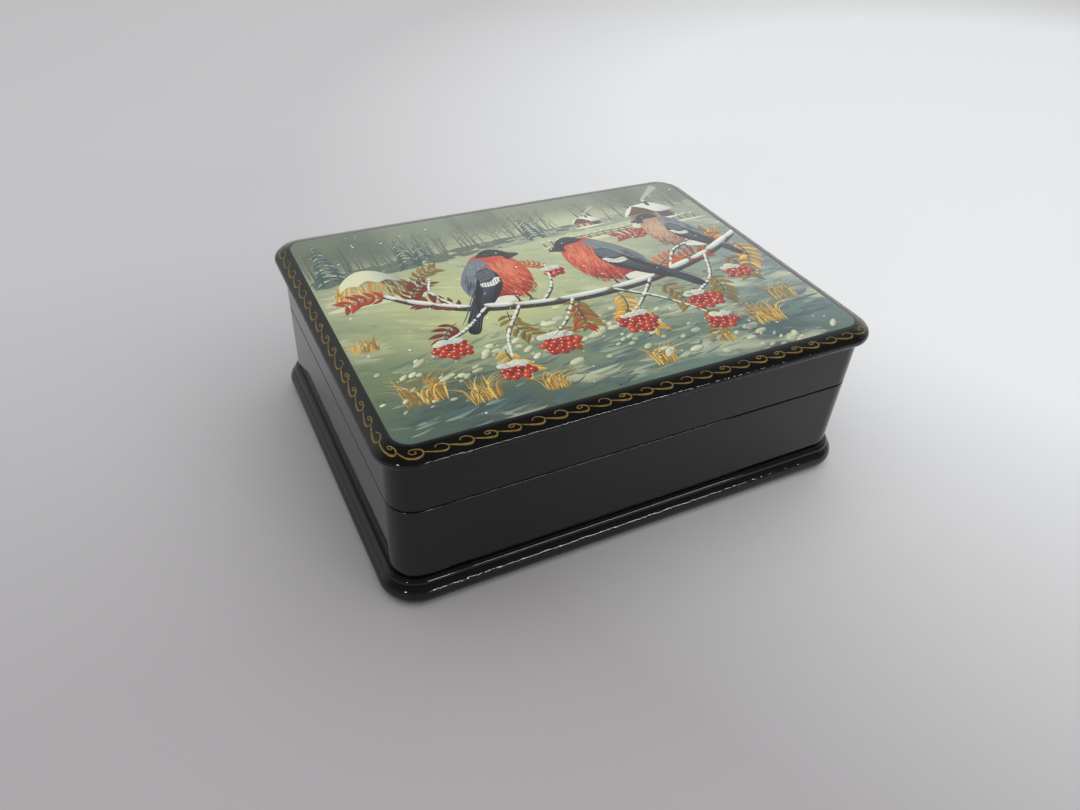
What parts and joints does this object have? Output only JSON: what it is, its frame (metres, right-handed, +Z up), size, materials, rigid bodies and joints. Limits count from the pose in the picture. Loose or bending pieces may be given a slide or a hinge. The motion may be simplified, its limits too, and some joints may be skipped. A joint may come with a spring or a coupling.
{
  "type": "lacquer box",
  "caption": "Rectangular papier-mache box in glossy black lacquer with a bullnose base board, a crowned hinged lid and a painted field on top.",
  "frame": {"origin": "under the middle of the base board, on the surface that the box stands on", "axes": "+X along the length to the right, +Y to the rear where the hinge is, +Z up"},
  "size_m": [0.1312, 0.0996, 0.0453],
  "materials": {
    "black_lacquer": "pressed papier-mache under black lacquer, polished to a gloss",
    "red_lacquer": "pressed papier-mache under red lacquer, glossy",
    "painted_field": "primed and painted in pale winter colours under clear gloss varnish",
    "hinge_strip": "rolled brass strip, black lacquered and rubbed bright at the edges",
    "hinge_wire": "drawn brass wire"
  },
  "bodies": {
    "body": {"base_board": "black_lacquer", "foot_bead": "black_lacquer", "body_wall": "black_lacquer", "inner_liner": "red_lacquer", "hinge_pin": "hinge_wire", "body_hinge_strap_1": "hinge_strip", "body_hinge_strap_2": "hinge_strip", "body_hinge_strap_3": "hinge_strip"},
    "lid": {"lid_wall": "black_lacquer", "lid_panel": "black_lacquer", "painted_field": "painted_field", "lid_hinge_strap_1": "hinge_strip", "lid_hinge_strap_2": "hinge_strip"}
  },
  "joints": [
    {"name": "lid_hinge", "type": "hinge", "parent": "body", "child": "lid", "pos_m": [0, 0.04605, 0.0277], "axis": [-1, 0, 0], "range_deg": [0, 100]}
  ]
}
